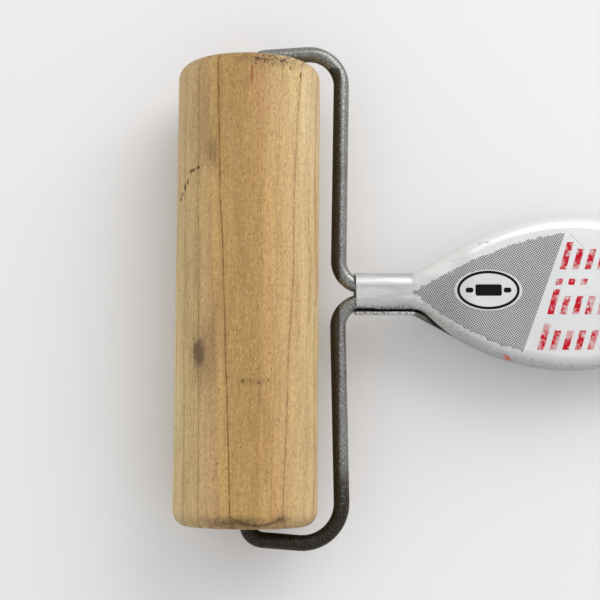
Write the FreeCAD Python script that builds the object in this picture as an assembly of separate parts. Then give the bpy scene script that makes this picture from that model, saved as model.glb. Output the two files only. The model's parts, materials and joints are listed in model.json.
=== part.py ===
import FreeCAD, Part
import math
import os

# A small hand roller for pastry and pizza dough: a turned wooden roller that spins on the
# two in-bent ends of one steel wire, and a hollow stamped aluminium handle that grips it.
#
# Each piece is drawn in the tool's own frame: origin at the middle of the roller's axis,
# +X from the roller to the tail of the handle, +Y along the roller's axis, +Z up, with the
# wire and the handle lying in the plane Z = 0.  The pieces are then tipped together until
# the tail rests on the table beside the roller, and the origin is moved to the table, under
# the middle of the object.  All lengths are in millimetres.

# Roller
ROLLER_DIAMETER = 31.0
ROLLER_LENGTH = 99.7
ROLLER_EDGE_RADIUS = 3.4
AXLE_BORE_DIAMETER = 5.2
AXLE_BORE_DEPTH = 18.0
AXLE_BORE_CHAMFER = 0.9

# Wire frame: hand-bent, so its two sides differ a little.  Keys: +1 and -1 for the Y side.
WIRE_DIAMETER = 3.4
STUB_X = 0.5
STUB_LENGTH_IN_ROLLER = 13.0
STUB_BEND_RADIUS = 3.5
ARM_ROOT_Y = {1: 51.95, -1: 52.45}
CORNER_X = {1: 20.3, -1: 20.9}
CORNER_Y = {1: 53.85, -1: 54.05}
CORNER_RADIUS = {1: 6.9, -1: 8.4}
RUN_FOOT_X = {1: 19.8, -1: 19.55}
NECK_BEND_RADIUS = 5.4
LEG_Y = 1.74
LEG_SPREAD_X = 43.0
LEG_SPREAD_RADIUS = 6.0
LOOP_SHOULDER_X = 51.0
LOOP_SHOULDER_RADIUS = 8.0
LOOP_END_X = 61.0
LOOP_HALF_WIDTH = 6.0
LOOP_END_RADIUS = 5.5

# Handle: two stampings from one die, the lower one turned over.  It is pressed on a little
# askew, turned about the mouth of its neck.
HANDLE_YAW = 0.9
HANDLE_OFFSET_Y = 0.15
MOUTH_X = 23.4
TAIL_X = 148.6
SHEET = 0.6
WIRE_CLEARANCE = 0.6
NECK_END_X = 36.3
NECK_HALF_WIDTH = 4.6
NECK_FLARE_RADIUS = 5.0
BELLY_START_X = 59.0
BELLY_END_X = 74.2
BELLY_HALF_WIDTH = 16.8
BELLY_START_RADIUS = 50.0
BELLY_END_RADIUS = 30.0
WAIST_X = 108.0
WAIST_HALF_WIDTH = 11.4
WAIST_RADIUS = 500.0
TAIL_HALF_WIDTH = 7.9
TAIL_RADIUS = 7.5
HALF_THICKNESS = 4.6
RIM_RADIUS = 2.8
RISE_START_X = 35.6
RISE_START_RADIUS = 3.0
RISE_END_X = 48.0
RISE_END_RADIUS = 15.0
HANG_HOLE_X = 139.4
HANG_HOLE_RADIUS = 3.0

# Each stamping has a lip on one side of its neck, outside the tongue on the other stamping's
# side.  The tongue flares later than the lip and its edge stays higher, which leaves an open
# slot beside the end of the neck.  Past the slot the two stampings meet edge to edge.
LIP_DEPTH = 1.9
LIP_RISE_START_X = 38.6
LIP_RISE_END_X = 41.8
TONGUE_GAP = 0.06
TONGUE_HEIGHT_AT_MOUTH = 2.0
TONGUE_HEIGHT_IN_NECK = 1.7
TONGUE_STEP_START_X = 27.0
TONGUE_STEP_END_X = 28.0
TONGUE_DROP_START_X = 40.2
TONGUE_DROP_END_X = 43.6
TONGUE_FLARE_X = 37.2
TONGUE_FLARE_RADIUS = 3.0
TONGUE_MEETS_OUTLINE_X = 44.2
TONGUE_MEETS_OUTLINE_RADIUS = 12.0
BUTT_CLEARANCE = 0.02
EDGE_CORNER_RADIUS = 0.6

# Worked out from the dimensions above
ROLLER_RADIUS = ROLLER_DIAMETER / 2
WIRE_RADIUS = WIRE_DIAMETER / 2
NECK_HALF_THICKNESS = WIRE_RADIUS + WIRE_CLEARANCE + SHEET
BEYOND = 10.0
STEEPEST_FACE = 45
HALF_SPACE = BELLY_HALF_WIDTH + BEYOND
X_AXIS = FreeCAD.Vector(1, 0, 0)
Y_AXIS = FreeCAD.Vector(0, 1, 0)
Z_AXIS = FreeCAD.Vector(0, 0, 1)
ASKEW = FreeCAD.Placement(
    FreeCAD.Vector(0, HANDLE_OFFSET_Y, 0),
    FreeCAD.Rotation(Z_AXIS, HANDLE_YAW),
    FreeCAD.Vector(MOUTH_X, 0, 0),
)


def rounded_edges(corners, closed):
    """Straight runs with a tangent arc at each corner.

    A corner is (point, radius); a radius of 0 leaves it sharp, and the two ends of an open
    path are always sharp.
    """
    count = len(corners)
    arrivals = []
    departures = []
    arcs = []
    for index, (point, radius) in enumerate(corners):
        is_end = not closed and index in (0, count - 1)
        if is_end or radius == 0:
            arrivals.append(point)
            departures.append(point)
            arcs.append(None)
            continue
        back = (corners[index - 1][0] - point).normalize()
        ahead = (corners[(index + 1) % count][0] - point).normalize()
        half_angle = back.getAngle(ahead) / 2
        tangent_length = radius / math.tan(half_angle)
        bisector = (back + ahead).normalize()
        start = point + back * tangent_length
        end = point + ahead * tangent_length
        middle = point + bisector * (radius / math.sin(half_angle) - radius)
        arrivals.append(start)
        departures.append(end)
        arcs.append(Part.Arc(start, middle, end).toShape())
    edges = []
    for index in range(count):
        if arcs[index]:
            edges.append(arcs[index])
        following = (index + 1) % count
        if closed or following:
            edges.append(Part.LineSegment(departures[index], arrivals[following]).toShape())
    return edges


def roller():
    """Turned roller with rounded ends and a blind, chamfered axle bore in each end."""
    base = FreeCAD.Vector(0, -ROLLER_LENGTH / 2, 0)
    body = Part.makeCylinder(ROLLER_RADIUS, ROLLER_LENGTH, base, Y_AXIS)
    rims = [edge for edge in body.Edges if edge.Closed]
    body = body.makeFillet(ROLLER_EDGE_RADIUS, rims)
    bore_radius = AXLE_BORE_DIAMETER / 2
    for side in (1, -1):
        mouth = FreeCAD.Vector(0, side * ROLLER_LENGTH / 2, 0)
        inward = Y_AXIS * -side
        bore = Part.makeCylinder(bore_radius, AXLE_BORE_DEPTH, mouth, inward)
        wide = bore_radius + AXLE_BORE_CHAMFER
        chamfer = Part.makeCone(wide, bore_radius, AXLE_BORE_CHAMFER, mouth, inward)
        body = body.cut(bore.fuse(chamfer))
    return body.Solids[0]


def side_corners(side):
    """Corners of one side of the wire's centreline, from the stub's tip to the handle."""
    return [
        (FreeCAD.Vector(STUB_X, side * (ROLLER_LENGTH / 2 - STUB_LENGTH_IN_ROLLER), 0), 0),
        (FreeCAD.Vector(STUB_X, side * ARM_ROOT_Y[side], 0), STUB_BEND_RADIUS),
        (FreeCAD.Vector(CORNER_X[side], side * CORNER_Y[side], 0), CORNER_RADIUS[side]),
        (ASKEW.multVec(FreeCAD.Vector(RUN_FOOT_X[side], side * LEG_Y, 0)), NECK_BEND_RADIUS),
        (ASKEW.multVec(FreeCAD.Vector(LEG_SPREAD_X, side * LEG_Y, 0)), LEG_SPREAD_RADIUS),
        (ASKEW.multVec(FreeCAD.Vector(LOOP_SHOULDER_X, side * LOOP_HALF_WIDTH, 0)),
         LOOP_SHOULDER_RADIUS),
        (ASKEW.multVec(FreeCAD.Vector(LOOP_END_X, side * LOOP_HALF_WIDTH, 0)),
         LOOP_END_RADIUS),
    ]


def wire_frame():
    """One bent wire: axle stubs, arms, runs, the two legs in the neck and the hidden loop."""
    corners = side_corners(1) + side_corners(-1)[::-1]
    path = Part.Wire(rounded_edges(corners, closed=False))
    tip = corners[0][0]
    section = Part.Wire(Part.makeCircle(WIRE_RADIUS, tip, Y_AXIS))
    return path.makePipeShell([section], True, False)


def across(corners):
    """The same corners on the -Y side, in the opposite order."""
    return [(FreeCAD.Vector(point.x, -point.y, 0), radius) for point, radius in corners[::-1]]


def outline_corners(inset):
    """Corners of the handle's +Y outline, from the neck's end to the tail.

    Each corner of the outline moved inwards by inset slides along its own bisector, so every
    arc keeps its centre.
    """
    flare_angle = math.atan2(BELLY_HALF_WIDTH - NECK_HALF_WIDTH, BELLY_START_X - NECK_END_X)
    taper_angle = math.atan2(BELLY_HALF_WIDTH - WAIST_HALF_WIDTH, WAIST_X - BELLY_END_X)
    tail_angle = math.atan2(WAIST_HALF_WIDTH - TAIL_HALF_WIDTH, TAIL_X - WAIST_X)
    flare_shift = inset * math.tan(flare_angle / 2)
    taper_shift = inset * math.tan(taper_angle / 2)
    waist_shift = inset * math.sin((taper_angle + tail_angle) / 2)
    tail_drop = inset * (1 - math.sin(tail_angle)) / math.cos(tail_angle)
    neck = NECK_HALF_WIDTH - inset
    belly = BELLY_HALF_WIDTH - inset
    waist = WAIST_HALF_WIDTH - inset
    tail = TAIL_HALF_WIDTH - tail_drop
    return [
        (FreeCAD.Vector(NECK_END_X + flare_shift, neck, 0), NECK_FLARE_RADIUS + inset),
        (FreeCAD.Vector(BELLY_START_X + flare_shift, belly, 0), BELLY_START_RADIUS - inset),
        (FreeCAD.Vector(BELLY_END_X - taper_shift, belly, 0), BELLY_END_RADIUS - inset),
        (FreeCAD.Vector(WAIST_X - waist_shift, waist, 0), WAIST_RADIUS + inset),
        (FreeCAD.Vector(TAIL_X - inset, tail, 0), TAIL_RADIUS - inset),
    ]


def lip_side(inset, mouth_x):
    """The +Y side of a stamping's wall, which is the handle's outline."""
    corners = outline_corners(inset)
    return [(FreeCAD.Vector(mouth_x, corners[0][0].y, 0), 0)] + corners


def tongue_side(inset, mouth_x):
    """The tongue, drawn on the +Y side: a sheet further in until its own, later flare."""
    corners = outline_corners(inset)
    neck_end, belly_start = corners[0][0], corners[1][0]
    slope = (belly_start.y - neck_end.y) / (belly_start.x - neck_end.x)
    tongue_y = neck_end.y - SHEET - TONGUE_GAP
    flare_x = neck_end.x + TONGUE_FLARE_X - NECK_END_X
    meeting_x = neck_end.x + TONGUE_MEETS_OUTLINE_X - NECK_END_X
    meeting_y = neck_end.y + (meeting_x - neck_end.x) * slope
    return [
        (FreeCAD.Vector(mouth_x, tongue_y, 0), 0),
        (FreeCAD.Vector(flare_x, tongue_y, 0), TONGUE_FLARE_RADIUS + inset),
        (FreeCAD.Vector(meeting_x, meeting_y, 0), TONGUE_MEETS_OUTLINE_RADIUS - inset),
    ] + corners[1:]


def wall_plan(inset, mouth_x):
    """Plan of a stamping's wall: its lip on the +Y side and its tongue on the -Y side."""
    corners = lip_side(inset, mouth_x) + across(tongue_side(inset, mouth_x))
    return rounded_edges(corners, closed=True)


def block_between(floor_corners, ceiling_corners, low_y, high_y):
    """A block with the given floor and ceiling profiles, from low_y to high_y."""
    corners = floor_corners + ceiling_corners[::-1]
    face = Part.Face(Part.Wire(rounded_edges(corners, closed=True)))
    face.translate(Y_AXIS * low_y)
    return face.extrude(Y_AXIS * (high_y - low_y))


def face_profile(inset, mouth_x):
    """Side profile of a stamping's outer face: flat neck, gentle rise, flat paddle."""
    neck = NECK_HALF_THICKNESS - inset
    paddle = HALF_THICKNESS - inset
    rise = HALF_THICKNESS - NECK_HALF_THICKNESS
    rise_angle = math.atan2(rise, RISE_END_X - RISE_START_X)
    shift = inset * math.tan(rise_angle / 2)
    return [
        (FreeCAD.Vector(mouth_x, 0, neck), 0),
        (FreeCAD.Vector(RISE_START_X + shift, 0, neck), RISE_START_RADIUS + inset),
        (FreeCAD.Vector(RISE_END_X + shift, 0, paddle), RISE_END_RADIUS - inset),
        (FreeCAD.Vector(TAIL_X + BEYOND, 0, paddle), 0),
    ]


def level(height, mouth_x):
    """A flat side profile at one height."""
    return [
        (FreeCAD.Vector(mouth_x, 0, height), 0),
        (FreeCAD.Vector(TAIL_X + BEYOND, 0, height), 0),
    ]


def butting_from(start_x):
    """End of an edge's side profile, where the two stampings meet edge to edge."""
    return [
        (FreeCAD.Vector(start_x, 0, BUTT_CLEARANCE), EDGE_CORNER_RADIUS),
        (FreeCAD.Vector(TAIL_X + BEYOND, 0, BUTT_CLEARANCE), 0),
    ]


def lip_edge(mouth_x):
    """Side profile of the lip's lower edge."""
    return [
        (FreeCAD.Vector(mouth_x, 0, -LIP_DEPTH), 0),
        (FreeCAD.Vector(LIP_RISE_START_X, 0, -LIP_DEPTH), EDGE_CORNER_RADIUS),
    ] + butting_from(LIP_RISE_END_X)


def tongue_edge(mouth_x):
    """Side profile of the tongue's lower edge, which clears the wire in the neck."""
    return [
        (FreeCAD.Vector(mouth_x, 0, TONGUE_HEIGHT_AT_MOUTH), 0),
        (FreeCAD.Vector(TONGUE_STEP_START_X, 0, TONGUE_HEIGHT_AT_MOUTH), EDGE_CORNER_RADIUS),
        (FreeCAD.Vector(TONGUE_STEP_END_X, 0, TONGUE_HEIGHT_IN_NECK), EDGE_CORNER_RADIUS),
        (FreeCAD.Vector(TONGUE_DROP_START_X, 0, TONGUE_HEIGHT_IN_NECK), EDGE_CORNER_RADIUS),
    ] + butting_from(TONGUE_DROP_END_X)


def pressed_form(inset, rim_radius, mouth_x):
    """The stamping as a full block, moved inwards by inset, with its rim rolled over."""
    column = Part.Face(Part.Wire(wall_plan(inset, mouth_x)))
    column.translate(Z_AXIS * -BEYOND)
    under_face = block_between(
        level(-BEYOND, mouth_x), face_profile(inset, mouth_x), -HALF_SPACE, HALF_SPACE)
    solid = column.extrude(Z_AXIS * 2 * BEYOND).common(under_face)
    tops = [face for face in solid.Faces if looks_up(face)]
    rim = [edge for edge in solid.Edges if on_rim(edge, tops)]
    return solid.makeFillet(rim_radius, rim)


def looks_up(face):
    """True for the parts of a stamping's outer face, which are never steep."""
    u_min, u_max, v_min, v_max = face.ParameterRange
    normal = face.normalAt((u_min + u_max) / 2, (v_min + v_max) / 2)
    return math.degrees(normal.getAngle(Z_AXIS)) < STEEPEST_FACE


def on_rim(edge, tops):
    """True for an edge between the outer face and a wall, except across the open mouth."""
    owners = [face for face in tops if any(edge.isSame(other) for other in face.Edges)]
    crosses = abs(edge.Vertexes[0].X - edge.Vertexes[-1].X) < 1e-6 and len(edge.Vertexes) == 2
    at_tail = edge.BoundBox.XMax > WAIST_X
    return len(owners) == 1 and (at_tail or not crosses)


def hang_hole():
    """Round drill through both stampings near the tail."""
    foot = FreeCAD.Vector(HANG_HOLE_X, 0, -BEYOND)
    return Part.makeCylinder(HANG_HOLE_RADIUS, 2 * BEYOND, foot, Z_AXIS)


def handle_shell():
    """One stamping, as the upper half of the handle: pressed hollow, trimmed and drilled."""
    outer = pressed_form(0, RIM_RADIUS, MOUTH_X)
    inner = pressed_form(SHEET, RIM_RADIUS - SHEET, MOUTH_X - BEYOND)
    ceiling = level(BEYOND, MOUTH_X)
    lip_part = block_between(lip_edge(MOUTH_X), ceiling, 0, HALF_SPACE)
    tongue_part = block_between(tongue_edge(MOUTH_X), ceiling, -HALF_SPACE, 0)
    kept = lip_part.fuse(tongue_part).removeSplitter()
    return outer.common(kept).cut(inner).cut(hang_hole()).removeSplitter().Solids[0]


def turned_over(shell):
    """The same stamping turned over, as the lower half of the handle."""
    lower = shell.copy()
    lower.rotate(FreeCAD.Vector(0, 0, 0), X_AXIS, 180)
    return lower


def resting_angle():
    """Tip, in degrees, at which the tail's rolled lower edge just touches the table."""
    heel_x = TAIL_X - RIM_RADIUS
    heel_z = HALF_THICKNESS - RIM_RADIUS
    drop = ROLLER_RADIUS - RIM_RADIUS
    angle = math.asin(drop / math.hypot(heel_x, heel_z)) - math.atan2(heel_z, heel_x)
    return math.degrees(angle)


def main():
    shell = handle_shell()
    pieces = {
        "roller": roller(),
        "wire_frame": wire_frame(),
        "handle_lower_shell": turned_over(shell).transformed(ASKEW.toMatrix()),
        "handle_upper_shell": shell.transformed(ASKEW.toMatrix()),
    }
    angle = resting_angle()
    for shape in pieces.values():
        shape.rotate(FreeCAD.Vector(0, 0, 0), Y_AXIS, angle)
    box = Part.makeCompound(list(pieces.values())).optimalBoundingBox()
    to_origin = FreeCAD.Vector(-box.Center.x, -box.Center.y, ROLLER_RADIUS)
    placement = FreeCAD.Placement(to_origin, FreeCAD.Rotation(Y_AXIS, angle))
    hole_centre = ASKEW.multVec(FreeCAD.Vector(HANG_HOLE_X, 0, 0))
    print("roller axis centre", to_origin)
    print("hang hole centre", placement.multVec(hole_centre))
    print("hang hole axis", placement.Rotation.multVec(Z_AXIS))
    for name, shape in pieces.items():
        shape.translate(to_origin)
        print(name, shape.ShapeType, shape.isValid(), round(shape.Volume, 1))
        shape.exportStep(f"parts/{name}.step")


os.makedirs("parts", exist_ok=True)
main()
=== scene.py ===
"""Dough roller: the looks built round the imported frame, laid out as a Blender add-on."""

import json
import math

import bmesh
import bpy
from bpy.props import FloatProperty, FloatVectorProperty, PointerProperty
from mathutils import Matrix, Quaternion, Vector


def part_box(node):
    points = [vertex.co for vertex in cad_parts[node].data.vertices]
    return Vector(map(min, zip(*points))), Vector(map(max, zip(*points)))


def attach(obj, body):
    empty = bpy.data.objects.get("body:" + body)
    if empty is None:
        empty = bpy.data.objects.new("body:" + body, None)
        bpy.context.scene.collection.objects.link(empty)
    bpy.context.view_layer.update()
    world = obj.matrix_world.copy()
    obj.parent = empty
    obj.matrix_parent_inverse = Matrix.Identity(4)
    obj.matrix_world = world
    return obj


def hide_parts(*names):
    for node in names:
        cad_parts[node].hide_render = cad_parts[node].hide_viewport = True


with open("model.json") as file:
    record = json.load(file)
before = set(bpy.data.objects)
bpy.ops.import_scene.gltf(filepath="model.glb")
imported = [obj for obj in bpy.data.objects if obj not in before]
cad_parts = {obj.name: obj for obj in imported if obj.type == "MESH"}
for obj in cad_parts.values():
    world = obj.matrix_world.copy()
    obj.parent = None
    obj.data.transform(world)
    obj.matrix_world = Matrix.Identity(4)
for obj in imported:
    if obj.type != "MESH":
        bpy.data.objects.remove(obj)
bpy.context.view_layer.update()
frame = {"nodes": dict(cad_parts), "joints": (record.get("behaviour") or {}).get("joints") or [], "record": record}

bl_info = {
    "name": "Dough Roller",
    "version": (1, 0, 0),
    "blender": (4, 5, 0),
    "location": "View3D > Sidebar > Dough Roller",
    "description": "Builds a wooden dough roller on a bent wire with a stamped handle",
    "category": "Object",
}

MM = 0.001
JOINT = frame["joints"][0]
HOLE = frame["record"]["mounts"][0]
AXLE = Vector(JOINT["pos_m"])
ROLLER_LOW, ROLLER_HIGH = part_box("roller")
ROLLER_LENGTH = ROLLER_HIGH[1] - ROLLER_LOW[1]
ROLLER_RADIUS = (ROLLER_HIGH[2] - ROLLER_LOW[2]) / 2
HANDLE_UP = Vector(HOLE["axis"])
WIRE_ALONG = Vector((HANDLE_UP.z, 0, -HANDLE_UP.x))
HANDLE_YAW = math.radians(0.9)
HANDLE_ALONG = Quaternion(HANDLE_UP, HANDLE_YAW) @ WIRE_ALONG
HOLE_FROM_AXLE = 139.4 * MM
HANDLE_START = Vector(HOLE["pos_m"]) - HANDLE_ALONG * HOLE_FROM_AXLE

ROLLER_SIDES = 192
RIM_STEPS = 12
WEAR_BANDS = 62
SHARP_ANGLE = math.radians(35)
QUARTER_TURN = math.radians(90)
WEAR_PATCH = 9 * MM


def paint(red, green, blue):
    """A colour as a paint chart gives it, 0 to 255, turned into linear light."""
    parts = [value / 255 for value in (red, green, blue)]
    return tuple(p / 12.92 if p <= 0.04045 else ((p + 0.055) / 1.055) ** 2.4 for p in parts)


# ---------------------------------------------------------------------------------------
# Shader maths


class Term:
    """One number in a material, which works in ordinary Python expressions."""

    def __init__(self, recipe, socket):
        self.recipe = recipe
        self.socket = socket

    def __add__(self, other):
        return self.recipe.math("ADD", self, other)

    def __sub__(self, other):
        return self.recipe.math("SUBTRACT", self, other)

    def __rsub__(self, other):
        return self.recipe.math("SUBTRACT", other, self)

    def __mul__(self, other):
        return self.recipe.math("MULTIPLY", self, other)

    def __truediv__(self, other):
        return self.recipe.math("DIVIDE", self, other)

    def __rtruediv__(self, other):
        return self.recipe.math("DIVIDE", other, self)

    def __pow__(self, other):
        return self.recipe.math("POWER", self, other)

    def __mod__(self, other):
        return self.recipe.math("FLOORED_MODULO", self, other)

    def __abs__(self):
        return self.recipe.math("ABSOLUTE", self)

    __radd__ = __add__
    __rmul__ = __mul__


class Recipe:
    """A material while it is mixed: its nodes, its coordinates and its main shader."""

    def __init__(self, name):
        self.material = bpy.data.materials.new(name)
        self.material.use_nodes = True
        self.tree = self.material.node_tree
        self.shader = self.tree.nodes["Principled BSDF"]
        self.place = self.node("ShaderNodeTexCoord", {}, {}, "Object")

    def node(self, kind, settings, inputs, output):
        """Any node: its settings first, then its sockets' values or links."""
        made = self.tree.nodes.new(kind)
        for name, value in settings.items():
            if name == "stops":
                set_stops(made.color_ramp, value)
            else:
                setattr(made, name, value)
        for name, value in inputs.items():
            self.feed(made.inputs[name], value)
        return Term(self, made.outputs[output])

    def feed(self, socket, value):
        """Link a term to a socket, or set the socket to a number, colour or vector."""
        if isinstance(value, Term):
            self.tree.links.new(value.socket, socket)
        elif isinstance(value, (int, float)):
            socket.default_value = value
        elif len(value) == 3 and socket.type == "RGBA":
            socket.default_value = (*value, 1.0)
        else:
            socket.default_value = tuple(value)

    def math(self, operation, *terms):
        """A Math node on terms or plain numbers."""
        return self.node("ShaderNodeMath", {"operation": operation}, dict(enumerate(terms)), 0)

    def biggest(self, first, *others):
        for other in others:
            first = self.math("MAXIMUM", first, other)
        return first

    def smallest(self, first, *others):
        for other in others:
            first = self.math("MINIMUM", first, other)
        return first

    def step(self, term, low, high):
        """0 below low, 1 above high, and a soft step between; low may be above high."""
        settings = {"interpolation_type": "SMOOTHSTEP"}
        inputs = {"Value": term, "From Min": low, "From Max": high}
        return self.node("ShaderNodeMapRange", settings, inputs, "Result")

    def noise(self, vector, scale, detail=2.0, roughness=0.5):
        """Cloudy noise, about 0.5 on average."""
        inputs = {"Vector": vector, "Scale": scale, "Detail": detail, "Roughness": roughness}
        return self.node("ShaderNodeTexNoise", {}, inputs, "Fac")

    def grain(self, x, y, z, wide, long, detail=2.0, roughness=0.5):
        """Noise drawn out along Y: wide and long are its sizes in millimetres."""
        place = self.vector(x / wide, y / long, z / wide)
        return self.noise(place, 1.0, detail, roughness)

    def vector(self, x, y, z):
        return self.node("ShaderNodeCombineXYZ", {}, {"X": x, "Y": y, "Z": z}, "Vector")

    def mix(self, factor, plain, covered):
        """Colour plain where the factor is 0 and covered where it is 1."""
        made = self.tree.nodes.new("ShaderNodeMix")
        made.data_type = "RGBA"
        self.feed(made.inputs[0], factor)
        self.feed(made.inputs[6], plain)
        self.feed(made.inputs[7], covered)
        return Term(self, made.outputs[2])

    def shade(self, colour, amount):
        """Colour scaled by a number, as light and dark streaks need."""
        settings = {"operation": "SCALE"}
        inputs = {0: colour, "Scale": amount}
        return self.node("ShaderNodeVectorMath", settings, inputs, "Vector")

    def ramp(self, factor, stops):
        """Colour that runs through the stops as the factor goes from 0 to 1."""
        return self.node("ShaderNodeValToRGB", {"stops": stops}, {"Fac": factor}, "Color")

    def local(self, centre, along, up):
        """Three terms in millimetres: along, across (Y) and up, from a centre in metres."""
        across = up.cross(along)
        terms = []
        for direction in (along, across, up):
            settings = {"operation": "DOT_PRODUCT"}
            inputs = {0: self.place, 1: direction / MM}
            dot = self.node("ShaderNodeVectorMath", settings, inputs, "Value")
            terms.append(dot - centre.dot(direction) / MM)
        return terms

    def finish(self, colour, roughness, height, depth, **constants):
        """Feed the main shader: what varies by links, what is constant on its sockets."""
        self.feed(self.shader.inputs["Base Color"], colour)
        self.feed(self.shader.inputs["Roughness"], roughness)
        for name, value in constants.items():
            self.feed(self.shader.inputs[name.replace("_", " ")], value)
        inputs = {"Height": height, "Distance": depth, "Strength": 1.0}
        bump = self.node("ShaderNodeBump", {}, inputs, "Normal")
        self.feed(self.shader.inputs["Normal"], bump)
        return self.material


def set_stops(color_ramp, stops):
    """Replace a ramp's stops by (position, colour) pairs."""
    elements = color_ramp.elements
    while len(elements) > 1:
        elements.remove(elements[-1])
    for index, (position, colour) in enumerate(stops):
        element = elements[0] if index == 0 else elements.new(position)
        element.position = position
        element.color = (*colour, 1.0)


# ---------------------------------------------------------------------------------------
# Settings


class RollerSettings(bpy.types.PropertyGroup):
    radius: FloatProperty(
        name="Radius", description="Radius of the turned wood", default=ROLLER_RADIUS,
        unit="LENGTH")
    length: FloatProperty(
        name="Length", description="Length over both ends", default=ROLLER_LENGTH,
        unit="LENGTH")
    edge_radius: FloatProperty(
        name="Edge radius", description="Rounding of the two rims", default=3.4 * MM,
        unit="LENGTH")
    bore_radius: FloatProperty(
        name="Bore radius", description="Radius of the axle bores", default=2.6 * MM,
        unit="LENGTH")
    bore_depth: FloatProperty(
        name="Bore depth", description="Depth of the axle bores", default=18.0 * MM,
        unit="LENGTH")
    bore_chamfer: FloatProperty(
        name="Bore chamfer", description="Width of the worn bevel at a bore's mouth",
        default=0.9 * MM, unit="LENGTH")
    wear: FloatProperty(
        name="Wear", description="How far the wood has worn out of round",
        default=0.12 * MM, unit="LENGTH")
    ring_line: FloatVectorProperty(
        name="Ring line", description="Colour of the dark growth lines", size=3,
        subtype="COLOR", default=paint(122, 82, 44))
    smudge: FloatVectorProperty(
        name="Smudge", description="Colour of the burnt-in dirt", size=3,
        subtype="COLOR", default=paint(92, 72, 50))


class WireSettings(bpy.types.PropertyGroup):
    steel: FloatVectorProperty(
        name="Steel", description="Colour of the bare drawn wire", size=3,
        subtype="COLOR", default=paint(128, 128, 125))
    # The scale colour also serves as painted shade on the inner sides of the wire's runs.
    scale: FloatVectorProperty(
        name="Scale", description="Colour of the dark brown oxide", size=3,
        subtype="COLOR", default=paint(47, 39, 22))


class HandleSettings(bpy.types.PropertyGroup):
    bare: FloatVectorProperty(
        name="Bare metal", description="Colour of the satin aluminium", size=3,
        subtype="COLOR", default=paint(217, 218, 218))
    grey_ink: FloatVectorProperty(
        name="Grey ink", description="Colour of the printed dots", size=3,
        subtype="COLOR", default=paint(58, 58, 60))
    red_ink: FloatVectorProperty(
        name="Red ink", description="Colour of the printed stripes", size=3,
        subtype="COLOR", default=paint(190, 24, 44))
    black_ink: FloatVectorProperty(
        name="Black ink", description="Colour of the printed badge", size=3,
        subtype="COLOR", default=paint(20, 20, 22))
    dot_pitch: FloatProperty(
        name="Dot pitch", description="Spacing of the printed dots", default=0.42 * MM,
        unit="LENGTH")


class StageSettings(bpy.types.PropertyGroup):
    floor: FloatVectorProperty(
        name="Floor", description="Colour of the table", size=3,
        subtype="COLOR", default=(0.83, 0.83, 0.84))
    lens: FloatProperty(
        name="Lens", description="Focal length of the camera in millimetres", default=83.7)
    height: FloatProperty(
        name="Height", description="Height of the camera above the roller's axis",
        default=0.300, unit="LENGTH")
    softbox_power: FloatProperty(
        name="Softbox power", description="Power of the large soft light in watts",
        default=4.2)
    sky_bright: FloatProperty(
        name="Bright sky", description="Strength of the sky on the window's side", default=0.91)
    sky_dim: FloatProperty(
        name="Dim sky", description="Strength of the sky on the far side", default=0.62)


# ---------------------------------------------------------------------------------------
# Modelling helpers


def start_fresh():
    """Leave edit mode and deselect everything, so that operators act on new work only."""
    if bpy.context.object and bpy.context.object.mode != "OBJECT":
        bpy.ops.object.mode_set(mode="OBJECT")
    bpy.ops.object.select_all(action="DESELECT")


def pick(piece, element, test):
    """Select the vertices, edges or faces of the edited piece that pass a test."""
    modes = {"verts": "VERT", "edges": "EDGE", "faces": "FACE"}
    bpy.ops.mesh.select_mode(type=modes[element])
    bpy.ops.mesh.select_all(action="DESELECT")
    shape = bmesh.from_edit_mesh(piece.data)
    for part in getattr(shape, element):
        if test(part):
            part.select_set(True)
    shape.select_flush_mode()
    bmesh.update_edit_mesh(piece.data)


def settle(piece):
    """Put a finished piece's object at the origin, with its place in its mesh and no material."""
    bpy.ops.object.transform_apply(location=True, rotation=True, scale=True)
    piece.data.materials.clear()


# ---------------------------------------------------------------------------------------
# Wood


def ring_place(x, z):
    """Place across the growth rings, which show as arcs on an end of the roller."""
    return x + z * 0.10 + z * z * 0.004


def surfacing(x):
    """Ring place of a growth line that comes to the top surface at x, in millimetres."""
    radius = ROLLER_RADIUS / MM
    return ring_place(x, math.sqrt(max(radius * radius - x * x, 0.0)))


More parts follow.
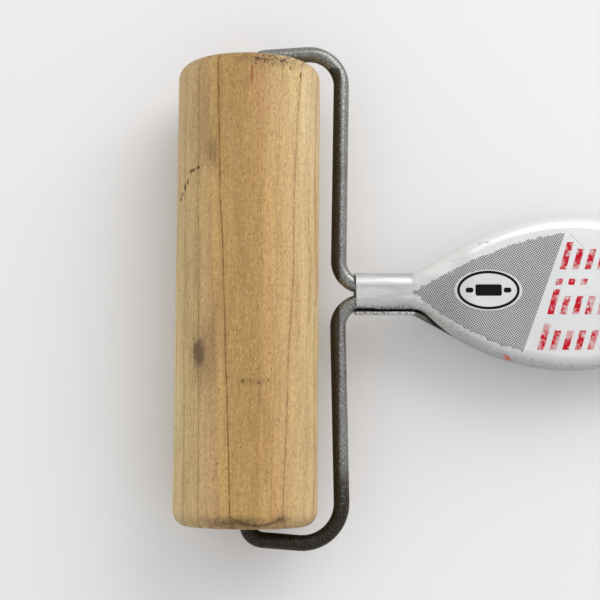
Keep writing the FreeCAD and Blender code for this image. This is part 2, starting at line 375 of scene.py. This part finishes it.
def wood(settings):
    """Old bare maple: bands, growth lines, fibres, flecks, pores, grey wear and dirt."""
    mix = Recipe("worn_maple")
    x, y, z = mix.local(AXLE, Vector((1, 0, 0)), Vector((0, 0, 1)))
    drift = mix.grain(x, y, z, 22.0, 60.0) - 0.5
    band = ring_place(x, z) + y * 0.036 + drift * 4.0
    colour = mix.ramp((band - surfacing(-16)) / (surfacing(16) - surfacing(-16)), WOOD_BANDS)
    broad = mix.grain(x, y, z, 4.0, 26.0, 3.0)
    colour = mix.mix(mix.step(broad, 0.48, 0.68) * 0.45, colour, paint(184, 143, 98))
    colour = mix.mix(mix.step(broad, 0.50, 0.32) * 0.35, colour, paint(194, 162, 98))

    fibre = mix.grain(x, y, z, 0.55, 9.0, 4.0, 0.8)
    streak = mix.grain(x, y, z, 1.7, 30.0, 2.0)
    speckle = mix.grain(x, y, z, 0.38, 0.9, 4.0, 0.85)
    tone = 1.0 + (fibre - 0.5) * 0.70 + (streak - 0.5) * 0.34 + (speckle - 0.5) * 1.2
    colour = mix.shade(colour, tone)
    pale = mix.step(mix.grain(x, y, z, 0.31, 1.0, 2.0, 0.8), 0.56, 0.66)
    colour = mix.mix(pale * 0.36, colour, paint(228, 196, 144))
    flecks = mix.step(mix.grain(x + 40, y, z, 0.31, 1.0, 2.0, 0.8), 0.57, 0.67)
    colour = mix.mix(flecks * 0.44, colour, paint(134, 98, 56))
    pores = mix.step(mix.grain(x - 40, y, z, 0.30, 0.8, 1.0), 0.69, 0.75)
    colour = mix.mix(pores * 0.65, colour, paint(104, 72, 38))

    lines = 0.0
    for start, lean, half_width, strength in GROWTH_LINES:
        sway = (mix.grain(start, y, z, 40.0, 24.0, 1.0) - 0.5) * 1.3
        away = abs(ring_place(x, z) - y * lean - surfacing(start) + sway)
        broken = mix.step(mix.grain(start * 9, y, z, 5.0, 2.6, 3.0, 0.8), 0.36, 0.60)
        line = mix.step(away, half_width, half_width * 0.1) * strength * (broken * 0.7 + 0.3)
        lines = mix.step(away, half_width * 5, 0.0) * strength * 0.16 + line + lines
    colour = mix.mix(mix.smallest(lines, 0.92), colour, tuple(settings.ring_line))

    crack = spot(x, y, CRACK_CENTRE, CRACK_SIZE) + (speckle - 0.5) * 0.8
    crack = mix.step(crack, 1.0, 0.45) * mix.step(z, 0.0, 4.0)
    colour = mix.mix(crack * 0.75, colour, paint(142, 82, 42))
    grey, black = wood_dirt(mix, x, y, z)
    colour = mix.mix(mix.smallest(grey, 0.85), colour, tuple(settings.smudge))
    colour = mix.mix(mix.smallest(black, 0.85), colour, paint(62, 42, 22))
    height = fibre * 0.4 + speckle * 0.6 - pores * 0.8 - lines * 0.4 - black - crack
    roughness = 0.60 + (speckle - 0.5) * 0.2 - grey * 0.08
    return mix.finish(colour, roughness, height, 0.045 * MM, Specular_IOR_Level=0.25)


# From the side away from the window, at 0, to the side towards it, at 1
WOOD_BANDS = [
    (0.00, paint(218, 200, 148)),
    (0.06, paint(212, 186, 136)),
    (0.15, paint(204, 174, 124)),
    (0.26, paint(198, 168, 120)),
    (0.355, paint(190, 153, 104)),
    (0.375, paint(198, 163, 104)),
    (0.46, paint(179, 142, 87)),
    (0.60, paint(170, 134, 80)),
    (0.72, paint(182, 144, 92)),
    (0.80, paint(192, 158, 108)),
    (0.88, paint(199, 168, 119)),
    (0.96, paint(212, 184, 136)),
    (1.00, paint(214, 190, 146)),
]

# Marks on the wood, in millimetres from the middle of the roller
CRACK_CENTRE = (1.07, 44.4)
CRACK_SIZE = (0.40, 2.9)
SOOT_CENTRE = (5.0, 48.4)
SOOT_SIZE = (7.6, 3.0)
SCORE_CENTRE = (3.0, -48.9)
SCORE_BOW = 0.062

# Growth lines: where each comes to the top surface, its lean, half-width and strength
GROWTH_LINES = [
    (-14.6, 0.000, 0.14, 0.34),
    (-12.9, -0.009, 0.18, 0.52),
    (-9.75, -0.013, 0.20, 0.56),
    (-4.35, -0.042, 0.24, 1.00),
    (3.4, 0.004, 0.15, 0.22),
    (6.6, 0.012, 0.16, 0.28),
    (9.75, 0.024, 0.20, 0.62),
    (13.2, 0.004, 0.15, 0.26),
    (14.6, 0.000, 0.16, 0.36),
]


def spot(x, y, centre, size):
    """How far a point is from a spot's centre: 0 in the middle and 1 on its edge."""
    across = (x - centre[0]) / size[0]
    along = (y - centre[1]) / size[1]
    return (across * across + along * along) ** 0.5


def wood_dirt(mix, x, y, z):
    """Grey grime and black marks, which lie mainly on the side that is up at rest."""
    speckle = mix.grain(x, y, z, 0.55, 0.9, 3.0, 0.75)
    streaks = mix.grain(x, y, z, 0.8, 7.0, 2.0, 0.6)
    ragged = (speckle - 0.5) * 1.1 + (streaks - 0.5) * 0.9
    top = mix.step(z, -2.0, 4.0)
    grey = 0.0
    for centre, size, strength in GRIME:
        grey = mix.step(spot(x, y, centre, size) + ragged, 1.15, 0.0) * strength + grey
    black = 0.0
    for centre, size in NICKS:
        black = mix.step(spot(x, y, centre, size) + ragged * 1.5, 1.3, 0.5) * 0.80 + black
    end = ROLLER_LENGTH / MM / 2
    rim = mix.step(abs(y), end - 3.6, end - 0.4)
    patches = mix.step(mix.grain(x, y, z, 1.6, 1.1, 3.0, 0.7), 0.46, 0.60)
    soot = mix.step(mix.grain(x, y, z, 0.50, 0.60, 2.0, 0.8), 0.54, 0.62)
    sooty = mix.step(spot(x, y, SOOT_CENTRE, SOOT_SIZE) + (streaks - 0.5) * 1.2, 1.1, 0.4)
    aside = x - SCORE_CENTRE[0]
    bowed = aside * aside * SCORE_BOW
    scored = mix.step(abs(y - SCORE_CENTRE[1] - bowed + ragged * 0.5), 0.42, 0.05)
    scored = scored * mix.step(abs(aside + ragged), 6.4, 4.0)
    grey = grey * top + rim * (0.12 + patches * 0.34)
    black = (black + scored * 0.60 + sooty * soot * 0.95) * top + rim * soot * 0.35
    return grey, black


# Grime rubbed into the wood: centre, half-size and strength, in millimetres
GRIME = [
    ((-9.7, -13.6), (1.7, 3.6), 0.80),
    ((-8.4, -13.8), (4.4, 10.5), 0.42),
    ((-5.9, -5.0), (1.6, 8.0), 0.22),
    ((-7.0, 28.2), (1.9, 4.6), 0.40),
    ((-8.6, 33.0), (3.0, 12.0), 0.24),
    ((-10.2, 4.0), (1.3, 12.0), 0.18),
    ((2.4, -19.8), (5.0, 1.2), 0.30),
    ((4.0, 47.4), (9.0, 1.8), 0.35),
    ((-1.5, -48.2), (7.5, 1.6), 0.60),
    ((8.0, -47.6), (2.2, 1.3), 0.55),
]

# Nicks in the wood: centre and half-size, in millimetres from the middle of the roller
NICKS = [
    ((-10.1, 25.2), (0.42, 0.34)),
    ((-10.9, 25.0), (0.25, 0.22)),
    ((-11.5, 24.8), (0.46, 0.40)),
    ((-12.5, 22.6), (0.22, 0.60)),
    ((-13.1, 21.6), (0.26, 0.80)),
    ((-13.7, 20.4), (0.18, 0.55)),
    ((-14.1, 19.4), (0.20, 0.60)),
    ((-0.1, -19.6), (0.22, 0.45)),
    ((3.1, -20.0), (0.30, 0.22)),
    ((5.0, -19.3), (0.22, 0.35)),
    ((2.2, 47.8), (0.50, 0.40)),
    ((7.4, 47.8), (0.85, 0.34)),
    ((9.0, 46.4), (0.22, 0.45)),
    ((11.2, 45.4), (0.20, 0.70)),
]


class BuildRoller(bpy.types.Operator):
    """Turn the wooden roller, round its rims and drill its two axle bores"""

    bl_idname = "dough_roller.roller"
    bl_label = "Wooden Roller"

    def execute(self, context):
        settings = context.scene.dough_roller_wood
        start_fresh()
        bpy.ops.mesh.primitive_cylinder_add(
            vertices=ROLLER_SIDES, radius=settings.radius, depth=settings.length,
            end_fill_type="NGON", location=AXLE, rotation=(QUARTER_TURN, 0, 0))
        piece = context.object
        piece.name = "turned_roller"
        bpy.ops.object.transform_apply(location=True, rotation=True, scale=True)
        bpy.ops.object.mode_set(mode="EDIT")
        self.round_rims(piece, settings)
        self.lathe_bands(piece, settings)
        self.drill_bores(piece, settings)
        bpy.ops.mesh.select_all(action="SELECT")
        bpy.ops.mesh.normals_make_consistent(inside=False)
        bpy.ops.object.mode_set(mode="OBJECT")
        self.wear(piece, settings)
        settle(piece)
        piece.data.materials.append(wood(settings))
        bpy.ops.object.shade_smooth_by_angle(angle=SHARP_ANGLE)
        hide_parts("roller")
        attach(piece, JOINT["child"])
        return {"FINISHED"}

    def round_rims(self, piece, settings):
        """Bevel the two end circles, before the sides are cut into bands."""

        def goes_round(edge):
            first, second = edge.verts
            return abs(first.co.y - second.co.y) < settings.edge_radius

        pick(piece, "edges", goes_round)
        bpy.ops.mesh.bevel(offset=settings.edge_radius, segments=RIM_STEPS, affect="EDGES")

    def lathe_bands(self, piece, settings):
        """Cut the long side faces into short bands, so that wear can shape them."""

        def runs_along(edge):
            first, second = edge.verts
            return abs(first.co.y - second.co.y) > settings.length * 0.5

        pick(piece, "edges", runs_along)
        bpy.ops.mesh.subdivide(number_cuts=WEAR_BANDS)

    def drill_bores(self, piece, settings):
        """Inset each end, then press it in as a chamfer and on as a blind bore."""
        half = settings.length / 2
        flat = settings.radius - settings.edge_radius
        mouth = settings.bore_radius + settings.bore_chamfer
        for side in (1, -1):

            def is_end(face):
                return side * face.normal.y > 0.99 and len(face.verts) == ROLLER_SIDES

            pick(piece, "faces", is_end)
            bpy.ops.mesh.inset(thickness=flat - mouth)
            centre = AXLE + Vector((0, side * half, 0))
            bpy.ops.mesh.extrude_region_move(
                TRANSFORM_OT_translate={"value": (0, -side * settings.bore_chamfer, 0)})
            shrink = settings.bore_radius / mouth
            bpy.ops.transform.resize(value=(shrink, 1, shrink), center_override=centre)
            depth = settings.bore_depth - settings.bore_chamfer
            bpy.ops.mesh.extrude_region_move(
                TRANSFORM_OT_translate={"value": (0, -side * depth, 0)})

    def wear(self, piece, settings):
        """Press the surface in a little here and there, never outwards."""
        hollows = bpy.data.textures.new("handling_hollows", "CLOUDS")
        hollows.noise_scale = WEAR_PATCH
        hollows.noise_depth = 2
        worn = piece.modifiers.new("worn", "DISPLACE")
        worn.texture = hollows
        worn.strength = settings.wear
        worn.mid_level = 1.0
        bpy.ops.object.modifier_apply(modifier=worn.name)


# ---------------------------------------------------------------------------------------
# Wire


def steel(settings):
    """Drawn steel wire: dull grey and specked, with brown scale where nothing rubs it; the runs' inner sides get
    the scale colour as painted shade, the arms are painted darker, partly for oxide and partly as painted shade
    and dark reflection, and some bright specks are painted glints.
    """
    mix = Recipe("drawn_steel")
    x, y, z = mix.local(AXLE, WIRE_ALONG, HANDLE_UP)
    place = mix.vector(x, y, z)
    mottle = mix.noise(place, 1.3, 4.0, 0.7)
    cloud = mix.noise(place, 0.20, 3.0, 0.6)
    drawn = mix.grain(x, y, z, 0.30, 5.0, 2.0, 0.6)
    # Painted shade: the runs' inner sides, towards the roller, take the scale colour in place of their shade and
    # the roller's dark reflection.
    painted_shade_inner_side = mix.step(x, RUN_X + 0.5, RUN_X - 0.9) * mix.step(abs(y), RUN_END + 1, RUN_END - 1)
    lower_arm = mix.step(y, -30.0, -51.0)
    upper_arm = mix.step(y, 47.0, 52.0)
    # Scale amount: random oxide clouds, plus painted shade on the runs' inner sides, more on the lower arm and
    # less on the upper arm.
    scale = cloud * 0.5 + painted_shade_inner_side * 0.75 + lower_arm * 0.55 - upper_arm * 0.35
    scale = mix.step(scale + (mottle - 0.5) * 0.7, 0.15, 0.75)
    colour = mix.mix(scale * 0.92, tuple(settings.steel), tuple(settings.scale))
    rust = mix.step(mix.noise(place, 0.5, 3.0, 0.6), 0.56, 0.66) * (0.20 + lower_arm * 0.5)
    colour = mix.mix(rust * scale, colour, paint(74, 40, 22))
    colour = mix.shade(colour, 0.62 + mottle * 0.45 + drawn * 0.35)
    # Painted shade: the upper arm is dulled towards a darker grey, standing for a dimmer reflection.
    colour = mix.mix(upper_arm * 0.35, colour, paint(84, 84, 82))
    # Painted dark reflection, partly oxide: the lower arm is pulled towards a near-black grey.
    colour = mix.mix(lower_arm * 0.60, colour, paint(34, 32, 29))
    # Bright specks: partly worn bare steel, partly painted glints of light.
    rubbed_glints = mix.step(mix.noise(place, 3.4, 2.0, 0.8), 0.55, 0.65) * (1.0 - scale * 0.85)
    colour = mix.mix(rubbed_glints * 0.75, colour, paint(216, 216, 212))
    pitted = mix.step(mix.noise(place, 2.7, 3.0, 0.8), 0.44, 0.36)
    colour = mix.mix(pitted * 0.45, colour, paint(50, 44, 34))
    roughness = 0.27 + scale * 0.16 + upper_arm * 0.06 + (mottle - 0.5) * 0.24
    height = mottle + mix.noise(place, 4.2, 2.0, 0.6) * 0.5
    return mix.finish(colour, roughness, height, 0.035 * MM, Metallic=0.85)


# Where the wire's long runs lie and where they bend into the arms, in millimetres
RUN_X = 20.0
RUN_END = 50.0


class DressWire(bpy.types.Operator):
    """Give the bent wire frame its drawn steel finish"""

    bl_idname = "dough_roller.wire"
    bl_label = "Wire Frame"

    def execute(self, context):
        node = frame["nodes"]["wire_frame"]
        node.data.materials.clear()
        node.data.materials.append(steel(context.scene.dough_roller_wire))
        return {"FINISHED"}


# ---------------------------------------------------------------------------------------
# Handle


def aluminium(name, settings, printed):
    """Satin aluminium sheet, scuffed on its shoulders, with a painted highlight on the window's shoulder and
    painted shade on the room's shoulder, on the neck and in the gap between the shells; the upper face has the
    worn print.
    """
    mix = Recipe(name)
    x, y, z = mix.local(HANDLE_START, HANDLE_ALONG, HANDLE_UP)
    place = mix.vector(x, y, z)
    brushed = mix.grain(y, x, z, 0.22, 5.0, 3.0, 0.6)
    cloud = mix.noise(place, 0.12, 3.0, 0.55)
    speck = mix.noise(place, 2.4, 3.0, 0.75)
    neck = mix.step(x, NECK_END + 1.2, NECK_END - 0.8)
    streaky = mix.noise(mix.vector(x * 0.16, y * 0.9, z * 0.9), 1.0, 3.0, 0.6)
    tone = 0.96 + (cloud - 0.5) * 0.16 + (brushed - 0.5) * 0.08
    # Painted shade: the neck is made about a fifth darker, with soft streaks.
    tone = tone + neck * (streaky - 0.5) * 0.5 - neck * 0.20
    colour = mix.shade(tuple(settings.bare), tone)
    edge = mix.step(abs(z), FACE_HEIGHT - 0.06, FACE_HEIGHT - 0.8) * (1.0 - neck)
    # Painted highlight: the shoulder on the window's side is painted paler, and made rougher and less metallic.
    painted_light_shoulder = mix.step(y, 3.2, 4.4) * edge
    # Painted shade: the shoulder on the room's side is pulled towards a blue grey.
    painted_shade_shoulder = mix.step(y, -5.0, -11.0) * mix.step(abs(z), FACE_HEIGHT - 0.2, 3.2)
    colour = mix.mix(painted_light_shoulder * 0.5, colour, paint(228, 229, 227))
    colour = mix.mix(painted_shade_shoulder * 0.45, colour, paint(146, 149, 155))
    # Grey mottling on the shoulder's room side: partly real grain, partly painted shade.
    mottle_and_shade = mix.step(speck, 0.44, 0.62) * edge * mix.step(y, 4.0, -4.0)
    colour = mix.mix(mottle_and_shade * 0.48, colour, paint(140, 142, 147))
    scuff = mix.step(mix.noise(place, 1.1, 4.0, 0.8), 0.64, 0.72) * (0.35 + edge * 0.5)
    colour = mix.mix(scuff * 0.45, colour, paint(120, 122, 126))
    knocked = 0.0
    for centre, size in KNOCKS:
        knocked = mix.step(spot(x, y, centre, size), 1.0, 0.6) + knocked
    chips = mix.step(mix.noise(place, 2.2, 3.0, 0.8), 0.57, 0.62)
    colour = mix.mix(mix.smallest(knocked, 1.0) * chips * 0.8, colour, paint(60, 60, 60))
    seam = mix.step(z, 1.0, 1.5) * mix.step(z, 2.8, 2.1) * mix.step(y, -2.3, -3.0)
    grimy = seam * neck * mix.step(speck, 0.44, 0.60)
    colour = mix.mix(grimy * 0.85, colour, paint(46, 42, 38))
    ink = 0.0
    if printed:
        colour, ink = print_on(mix, settings, colour, x, y, z)
    else:
        # Painted shade: the gap between the shells on the lower shell is painted dark olive grey.
        painted_slot_shade = mix.step(y, -2.5, -3.5) * mix.step(z, -1.6, -0.6)
        painted_slot_shade = painted_slot_shade * mix.step(abs(x - SLOT_MIDDLE), 4.8, 3.8)
        colour = mix.mix(painted_slot_shade * 0.88, colour, paint(60, 62, 52))
    roughness = 0.43 + (cloud - 0.5) * 0.14 + (mottle_and_shade + scuff) * 0.12 + painted_light_shoulder * 0.2
    height = brushed * 0.25 + speck * 0.5 - scuff * 0.5
    metal = 0.88 - mix.smallest(ink + grimy + painted_light_shoulder * 0.6, 1.0) * 0.86
    return mix.finish(
        colour, roughness, height, 0.018 * MM, Metallic=metal, Specular_IOR_Level=0.05)


# Along the handle from the axle, and up from the middle of the handle, in millimetres
NECK_END = 35.8
FACE_HEIGHT = 4.6
SLOT_MIDDLE = 40.4

# Chipped places on the rims: centre and half-size, in millimetres along and across
KNOCKS = [
    ((51.0, 10.4), (1.8, 0.8)),
    ((65.5, 14.3), (2.4, 0.6)),
    ((45.0, 7.0), (1.4, 0.6)),
    ((58.0, 12.7), (0.6, 0.5)),
    ((84.0, -14.6), (3.0, 0.7)),
    ((101.0, 12.0), (2.2, 0.6)),
]


def print_on(mix, settings, colour, x, y, z):
    """The worn print of the upper face: two dotted fields, a badge and red slanted bars."""
    on_face = mix.step(z, 1.9, 2.4)
    wear = mix.noise(mix.vector(x, y, 0.0), 0.8, 4.0, 0.75)
    dots = dot_grid(mix, x, y, settings.dot_pitch / MM)
    field = mix.biggest(neck_field(mix, x, y), tail_field(mix, x, y, wear))
    oval = spot(x, y, BADGE_CENTRE, BADGE_SIZE)
    clear = mix.step(oval, 1.12, 1.15)
    kept = mix.step(wear, 0.20, 0.34) * on_face
    dotted = dots * field * clear * kept
    colour = mix.mix(dotted * 0.96, colour, tuple(settings.grey_ink))
    black = badge(mix, x, y) * mix.step(wear, 0.24, 0.34)
    colour = mix.mix(black, colour, tuple(settings.black_ink))
    red = 0.0
    for low, high, length, drop in BAR_ROWS:
        red = bars(mix, x, y, low, high, length, drop) + red
    thin = mix.step(mix.noise(mix.vector(x, y, 3.0), 0.34, 4.0, 0.65), 0.42, 0.54)
    flaked = mix.step(mix.noise(mix.vector(x, y, 9.0), 1.2, 3.0, 0.6), 0.34, 0.46)
    red = red * on_face * (thin * 0.50 + 0.50) * (flaked * 0.60 + 0.40)
    colour = mix.mix(red, colour, tuple(settings.red_ink))
    slanted = y + (x - SMEAR_CENTRE[0]) * 0.8
    smear = spot(x, slanted, SMEAR_CENTRE, SMEAR_SIZE) + (wear - 0.5) * 4.0
    colour = mix.mix(mix.step(smear, 1.0, 0.6) * 0.8, colour, paint(214, 92, 56))
    scratch = mix.step(abs(x + y - SCRATCH_SUM + (wear - 0.5) * 0.3), 0.14, 0.04)
    scratch = scratch * mix.step(abs(x - SCRATCH_MIDDLE), 1.9, 1.2)
    colour = mix.mix(scratch * 0.6, colour, paint(112, 112, 114))
    return colour, mix.smallest(dotted + black + red, 1.0)


# The print's places along and across the upper face, in millimetres
PRINT_APEX = 35.4
PRINT_END = 64.1
PRINT_END_LEAN = 0.384
SECOND_FIELD_START = 92.0
SECOND_FIELD_END = 131.8
BADGE_CENTRE = (51.9, 0.4)
BADGE_SIZE = (6.5, 3.9)
SMEAR_CENTRE = (56.1, -14.1)
SMEAR_SIZE = (1.5, 0.45)
SCRATCH_SUM = 82.9
SCRATCH_MIDDLE = 71.6
SCREEN_ANGLE = math.radians(31)
BAR_START = 66.0
BAR_LEAN = 0.31
BAR_PITCH = 2.75
BAR_FILL = 0.58

# Parts of the rolling pin: centre, half-length, half-width and rounding
PIN_BODY = (0.0, 2.9, 1.25, 0.45)
PIN_GRIP = (4.15, 0.85, 0.55, 0.5)

# Rows of red bars: lower and upper edge, length and how much shorter the later bars are
BAR_ROWS = [
    (4.9, 10.9, 23.0, 1.5),
    (1.5, 2.9, 7.0, 0.0),
    (-4.9, 0.6, 21.0, 1.5),
    (-12.6, -6.9, 20.0, 1.5),
]


def dot_grid(mix, x, y, pitch):
    """Round dots on a square grid, turned as the printer's screen was."""
    across = math.cos(SCREEN_ANGLE) / pitch
    up = math.sin(SCREEN_ANGLE) / pitch
    first = (x * across + y * up) % 1.0 - 0.5
    second = (x * up - y * across) % 1.0 - 0.5
    return mix.step((first * first + second * second) ** 0.5, 0.50, 0.34)


def neck_field(mix, x, y):
    """Dotted field that opens from a point at the neck and ends at a slanted line."""
    along = x - PRINT_APEX
    chewed = mix.noise(mix.vector(x, y, 5.0), 0.9, 4.0, 0.7)
    rough = (chewed - 0.5) * 3.0 + 0.2
    upper_edge = along * 0.62 - along * along * 0.0068 - 0.2
    lower_edge = along * along * 0.0135 - along * 0.875 + 0.4
    inside = mix.step(upper_edge - y + rough, 0.0, 0.25)
    inside = inside * mix.step(y - lower_edge + rough, 0.0, 0.25)
    return inside * mix.step(x - y * PRINT_END_LEAN, PRINT_END + 0.1, PRINT_END - 0.1)


def tail_field(mix, x, y, wear):
    """Dotted field from the end of the bars to a point before the hanging hole."""
    rough = (wear - 0.5) * 1.4
    half_width = 27.0 - x * 0.2
    inside = mix.step(half_width - abs(y) + rough, 0.0, 0.25)
    inside = inside * mix.step(x, SECOND_FIELD_END + 0.2, SECOND_FIELD_END - 0.2)
    slanted = x - y * PRINT_END_LEAN
    return inside * mix.step(slanted, SECOND_FIELD_START, SECOND_FIELD_START + 0.2)


def badge(mix, x, y):
    """An oval line with a rolling pin in it, in black."""
    long, short = BADGE_SIZE
    across = x - BADGE_CENTRE[0]
    along = y - BADGE_CENTRE[1]
    steepness = (across * across / long ** 4 + along * along / short ** 4) ** 0.5
    inside = (across * across / long ** 2 + along * along / short ** 2 - 1.0) / steepness
    line = mix.step(abs(inside), 0.70, 0.50)
    body = pill(mix, abs(across), along, *PIN_BODY)
    grips = pill(mix, abs(across), along, *PIN_GRIP)
    return mix.biggest(line, body, grips)


def pill(mix, across, along, centre, half_length, half_width, rounding):
    """A bar with rounded corners: 1 inside and 0 outside."""
    right = mix.biggest(abs(across - centre) - (half_length - rounding), 0.0)
    up = mix.biggest(abs(along) - (half_width - rounding), 0.0)
    return mix.step((right * right + up * up) ** 0.5, rounding + 0.06, rounding - 0.06)


def bars(mix, x, y, low, high, length, drop):
    """One row of slanted bars: the first full height and the others shorter by drop."""
    along = x - y * BAR_LEAN - BAR_START
    top = high - mix.step(along, BAR_PITCH, BAR_PITCH + 0.1) * drop
    band = mix.step(y, low - 0.08, low + 0.08) * mix.step(y - top, 0.08, -0.08)
    run = mix.step(along, -0.08, 0.08) * mix.step(along, length, length - 0.1)
    bar = mix.step(abs(along / BAR_PITCH % 1.0 - BAR_FILL / 2), BAR_FILL / 2, BAR_FILL / 2 - 0.05)
    return band * run * bar


class DressHandle(bpy.types.Operator):
    """Give the two stamped shells their satin aluminium and the worn print"""

    bl_idname = "dough_roller.handle"
    bl_label = "Handle Shells"

    def execute(self, context):
        settings = context.scene.dough_roller_handle
        for name, printed in (("handle_lower_shell", False), ("handle_upper_shell", True)):
            node = frame["nodes"][name]
            node.data.materials.clear()
            node.data.materials.append(aluminium(name + "_sheet", settings, printed))
        return {"FINISHED"}


# ---------------------------------------------------------------------------------------
# Stage


TABLE_SIZE = 3.0
SOFTBOX_SIZE = 0.7
SOFTBOX_PLACE = AXLE + Vector((0.49, 0.61, 0.57))
WINDOW_SIDE = Vector((0.60, 0.72, 0.34)).normalized()
CAMERA_ASIDE = Vector((11.4 * MM, -31.7 * MM, 0))
CAMERA_TILT = math.radians(5.77)
CAMERA_TURN = math.radians(0.41)


class SetStage(bpy.types.Operator):
    """Lay the pale table and set the soft light, the sky and the camera"""

    bl_idname = "dough_roller.stage"
    bl_label = "Stage"

    def execute(self, context):
        settings = context.scene.dough_roller_stage
        start_fresh()
        self.lay_table(settings)
        self.light(context, settings)
        self.place_camera(context, settings)
        context.scene.view_settings.view_transform = "Standard"
        return {"FINISHED"}

    def lay_table(self, settings):
        bpy.ops.mesh.primitive_plane_add(size=TABLE_SIZE)
        table = bpy.context.object
        table.name = "table_top"
        mix = Recipe("pale_table")
        veil = mix.noise(mix.place, 1.5, 2.0)
        colour = mix.shade(tuple(settings.floor), 0.985 + veil * 0.03)
        mix.feed(mix.shader.inputs["Base Color"], colour)
        mix.feed(mix.shader.inputs["Roughness"], 0.9)
        mix.feed(mix.shader.inputs["Specular IOR Level"], 0.1)
        table.data.materials.append(mix.material)

    def light(self, context, settings):
        context.scene.world = self.sky(settings)
        bpy.ops.object.light_add(type="AREA", location=SOFTBOX_PLACE)
        softbox = context.object
        softbox.name = "softbox"
        softbox.data.shape = "RECTANGLE"
        softbox.data.size = SOFTBOX_SIZE
        softbox.data.size_y = SOFTBOX_SIZE
        softbox.data.energy = settings.softbox_power
        aim = (AXLE - softbox.location).to_track_quat("-Z", "Y")
        softbox.rotation_euler = aim.to_euler()

    def sky(self, settings):
        """A soft sky that is brighter on the window's side of the room."""
        world = bpy.data.worlds.new("window_sky")
        world.use_nodes = True
        tree = world.node_tree
        place = tree.nodes.new("ShaderNodeTexCoord")
        facing = tree.nodes.new("ShaderNodeVectorMath")
        facing.operation = "DOT_PRODUCT"
        facing.inputs[1].default_value = WINDOW_SIDE
        spread = tree.nodes.new("ShaderNodeMapRange")
        spread.inputs["From Min"].default_value = -1.0
        spread.inputs["To Min"].default_value = settings.sky_dim
        spread.inputs["To Max"].default_value = settings.sky_bright
        background = tree.nodes["Background"]
        background.inputs["Color"].default_value = (1.0, 1.0, 1.0, 1.0)
        tree.links.new(place.outputs["Generated"], facing.inputs[0])
        tree.links.new(facing.outputs["Value"], spread.inputs["Value"])
        tree.links.new(spread.outputs["Result"], background.inputs["Strength"])
        return world

    def place_camera(self, context, settings):
        place = AXLE + CAMERA_ASIDE + Vector((0, 0, settings.height))
        bpy.ops.object.camera_add(location=place)
        camera = context.object
        camera.name = "camera"
        camera.rotation_mode = "ZYX"
        camera.rotation_euler = (CAMERA_TILT, 0, CAMERA_TURN)
        camera.data.lens = settings.lens
        camera.data.clip_start = 0.01
        context.scene.camera = camera


# ---------------------------------------------------------------------------------------
# Panel and registration


class DoughRollerPanel(bpy.types.Panel):
    """Lists the pieces of the dough roller and their settings"""

    bl_idname = "VIEW3D_PT_dough_roller"
    bl_label = "Dough Roller"
    bl_space_type = "VIEW_3D"
    bl_region_type = "UI"
    bl_category = "Dough Roller"

    def draw(self, context):
        for operator, group in STEPS:
            box = self.layout.box()
            box.operator(operator.bl_idname)
            settings = getattr(context.scene, group)
            for name in settings.bl_rna.properties.keys():
                if name not in ("rna_type", "name"):
                    box.prop(settings, name)


GROUPS = {
    "dough_roller_wood": RollerSettings,
    "dough_roller_wire": WireSettings,
    "dough_roller_handle": HandleSettings,
    "dough_roller_stage": StageSettings,
}

STEPS = [
    (BuildRoller, "dough_roller_wood"),
    (DressWire, "dough_roller_wire"),
    (DressHandle, "dough_roller_handle"),
    (SetStage, "dough_roller_stage"),
]

CLASSES = [*GROUPS.values(), *(operator for operator, group in STEPS), DoughRollerPanel]


def register():
    for made in CLASSES:
        bpy.utils.register_class(made)
    for name, group in GROUPS.items():
        setattr(bpy.types.Scene, name, PointerProperty(type=group))


def unregister():
    for name in GROUPS:
        delattr(bpy.types.Scene, name)
    for made in reversed(CLASSES):
        bpy.utils.unregister_class(made)


def main():
    register()
    for operator, group in STEPS:
        family, name = operator.bl_idname.split(".")
        getattr(getattr(bpy.ops, family), name)()


if __name__ == "__main__":
    main()
